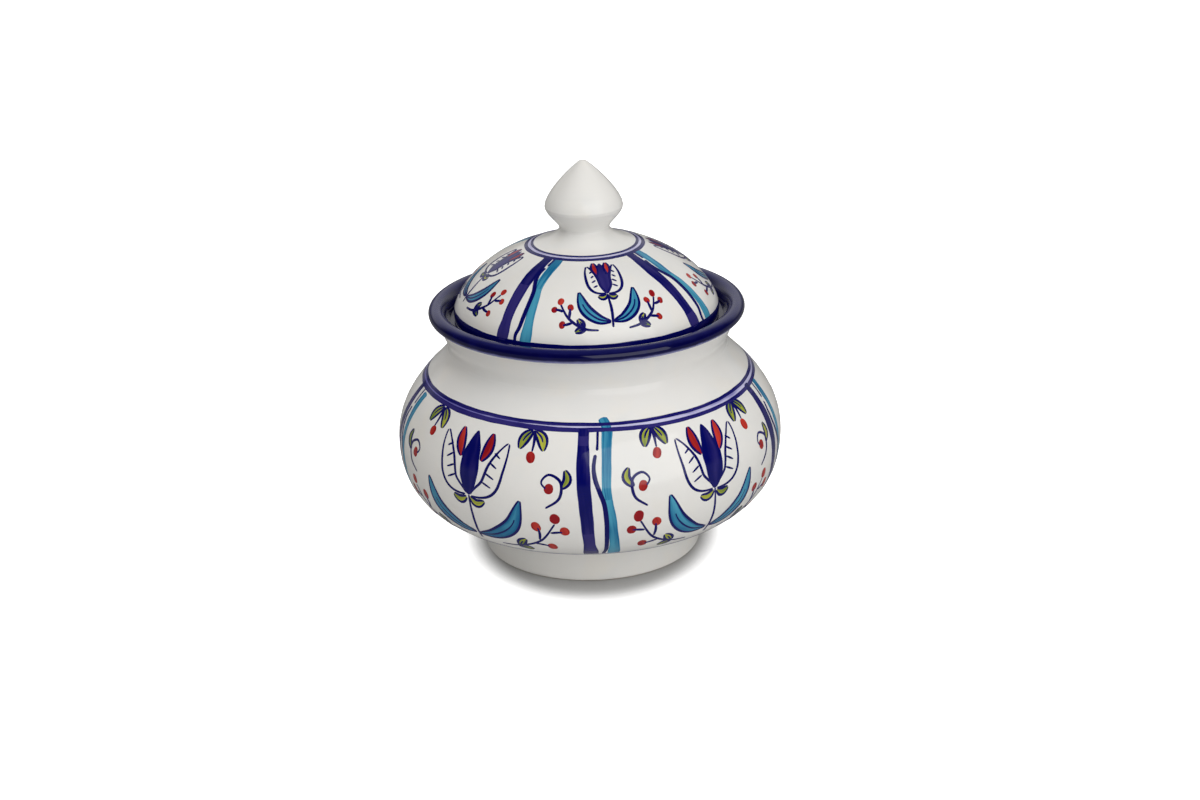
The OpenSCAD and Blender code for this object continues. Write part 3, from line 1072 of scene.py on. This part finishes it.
def make_floor():
    """A plain white floor. To the camera it glows away from the object, and near it keeps the shadow, with
    painted shade darkened into its colour where the object hides the sky.
    """
    shader = Shader("white_floor")
    place = shader.place()
    near = {"Distance": CONTACT_REACH * MM}
    open_sky = shader.add("AmbientOcclusion", near, samples=CONTACT_SAMPLES).outputs["AO"]
    pale = shader.blend(shader.noise(place, size=40.0), FLOOR_DARKER, FLOOR_LIGHTER)
    seen = seen_directly(shader.nodes, shader.links)
    # Painted shade: to the camera the floor's colour darkens where the object hides the sky, while the light
    # it bounces stays pale
    painted_shade = shader.math("MULTIPLY", seen, shader.ramp(open_sky, *CONTACT_SKY))
    shader.feed(shader.skin["Base Color"], shader.blend(painted_shade, pale, PAINTED_SHADE_COLOUR))
    shader.skin["Roughness"].default_value = 1.0
    shader.skin["Specular IOR Level"].default_value = 0.0
    shaped = shader.add("VectorMath", {0: place, 1: GLOW_SHAPE}, operation="MULTIPLY").outputs["Vector"]
    away = shader.add("VectorMath", {0: shaped, 1: GLOW_CENTRE}, operation="DISTANCE").outputs["Value"]
    glow = shader.ramp(away, *GLOW_REACH, *GLOW_LEVEL)
    shader.feed(shader.skin["Emission Strength"], shader.math("MULTIPLY", seen, glow))
    shader.skin["Emission Color"].default_value = WHITE
    made = bmesh.new()
    bmesh.ops.create_circle(made, cap_ends=True, segments=FLOOR_SIDES, radius=FLOOR_RADIUS)
    stage_piece("floor", made, shader.material)


def only_in_mirrors(piece):
    """Hides a stage piece from everything but reflections."""
    piece.visible_camera = False
    piece.visible_diffuse = False
    piece.visible_transmission = False
    piece.visible_shadow = False


def make_dim_studio():
    """The dim studio round the object, walls and table, which only shows as reflections in the glaze."""
    shader = Shader("dim_studio")
    depth, height = shader.parts(shader.place())[1:3]
    walls = shader.ramp(height, 0.0, WALL_FOOT, TABLE_LEVEL, WALL_LEVEL)
    behind = shader.ramp(depth, *BACKDROP_DEPTH)
    backdrop = shader.math("MULTIPLY", behind, shader.ramp(height, *BACKDROP_RISE))
    level = shader.math("ADD", walls, shader.math("MULTIPLY", backdrop, BACKDROP_LEVEL))
    shader.skin["Base Color"].default_value = BLACK
    shader.skin["Specular IOR Level"].default_value = 0.0
    shader.skin["Emission Color"].default_value = STUDIO_COLOUR
    shader.feed(shader.skin["Emission Strength"], level)
    made = bmesh.new()
    bmesh.ops.create_icosphere(made, subdivisions=STUDIO_DETAIL, radius=STUDIO_RADIUS)
    for vert in made.verts:
        vert.co.z = max(vert.co.z, TABLE_LIFT)
    studio = stage_piece("dim_studio", made, shader.material)
    only_in_mirrors(studio)


def make_world():
    """Even soft light from all round, and a white background."""
    world = bpy.data.worlds.new("studio")
    world.use_nodes = True
    nodes = world.node_tree.nodes
    links = world.node_tree.links
    around = nodes["Background"]
    around.inputs["Color"].default_value = WORLD_COLOUR
    around.inputs["Strength"].default_value = WORLD_STRENGTH
    white = nodes.new("ShaderNodeBackground")
    white.inputs["Color"].default_value = WHITE
    white.inputs["Strength"].default_value = 1.0
    either = nodes.new("ShaderNodeMixShader")
    links.new(seen_directly(nodes, links), either.inputs[0])
    links.new(around.outputs[0], either.inputs[1])
    links.new(white.outputs[0], either.inputs[2])
    links.new(either.outputs[0], nodes["World Output"].inputs["Surface"])
    bpy.context.scene.world = world


def aim(thing, target, azimuth, elevation, distance):
    """Puts a thing at a distance from a target in some direction, and turns its face to the target."""
    turn, rise = math.radians(azimuth), math.radians(elevation)
    back = Vector((math.sin(turn) * math.cos(rise), -math.cos(turn) * math.cos(rise), math.sin(rise)))
    thing.location = Vector(target) + back * distance
    thing.rotation_mode = "QUATERNION"
    thing.rotation_quaternion = (-back).to_track_quat("-Z", "Y")


def softbox(name, azimuth, elevation, distance, size, level):
    """A square lamp aimed at the object. level is how bright it alone makes a white surface facing it."""
    data = bpy.data.lights.new(name, "AREA")
    data.size = size
    data.energy = level * math.pi ** 2 * distance ** 2
    lamp = bpy.data.objects.new(name, data)
    lamp.visible_glossy = name == MIRRORED_LAMP
    aim(lamp, SOFTBOX_TARGET, azimuth, elevation, distance)
    bpy.context.scene.collection.objects.link(lamp)


def make_lights():
    """A broad key from the right, a broad top light a little to the front, and a low fill from behind."""
    for name, setting in SOFTBOXES.items():
        softbox(name, *setting)


def make_camera():
    data = bpy.data.cameras.new("photo_camera")
    data.sensor_width = SENSOR_WIDTH
    data.lens = CAMERA_LENS
    data.shift_x = (PHOTO_SIZE[0] / 2 - TARGET_PIXEL[0]) / PHOTO_SIZE[0]
    data.shift_y = (TARGET_PIXEL[1] - PHOTO_SIZE[1] / 2) / PHOTO_SIZE[0]
    camera = bpy.data.objects.new("photo_camera", data)
    aim(camera, (0.0, 0.0, CAMERA_TARGET_Z * MM), 0.0, CAMERA_ELEVATION, CAMERA_DISTANCE * MM)
    roll = Quaternion((0.0, 0.0, 1.0), math.radians(-CAMERA_ROLL))
    camera.rotation_quaternion = camera.rotation_quaternion @ roll
    bpy.context.scene.collection.objects.link(camera)
    bpy.context.scene.camera = camera


# The two bodies

def make_dish(white, clay, brushed):
    turned_piece("thrown_bowl", "bowl", "dish", [white])
    turned_piece("turned_foot", "foot_ring", "dish", [white, clay], foot_finish)
    turned_piece("rolled_rim", "rim_collar", "dish", [cobalt_rim()])
    inks = ink_set("dish", brushed)
    paint_bowl(inks)
    return inks


def make_lid(white, clay, brushed):
    turned_piece("lid_shell", "lid_dome", "lid", [white, clay], dome_finish)
    turned_piece("lid_locating_ring", "lid_flange", "lid", [white, clay], flange_finish)
    turned_piece("onion_knob", "lid_knob", "lid", [white])
    inks = ink_set("lid", brushed)
    paint_lid(inks)
    return inks


def make_object():
    white = white_glaze()
    clay = bare_clay()
    brushed = {colour: brushed_colour(f"brushed_{colour}", kind) for colour, kind in INK_KINDS.items()}
    for inks in (make_dish(white, clay, brushed), make_lid(white, clay, brushed)):
        for ink in inks.values():
            ink.finish()


bpy.context.scene.view_settings.view_transform = "Standard"
make_camera()
make_world()
make_lights()
make_floor()
make_dim_studio()
make_object()
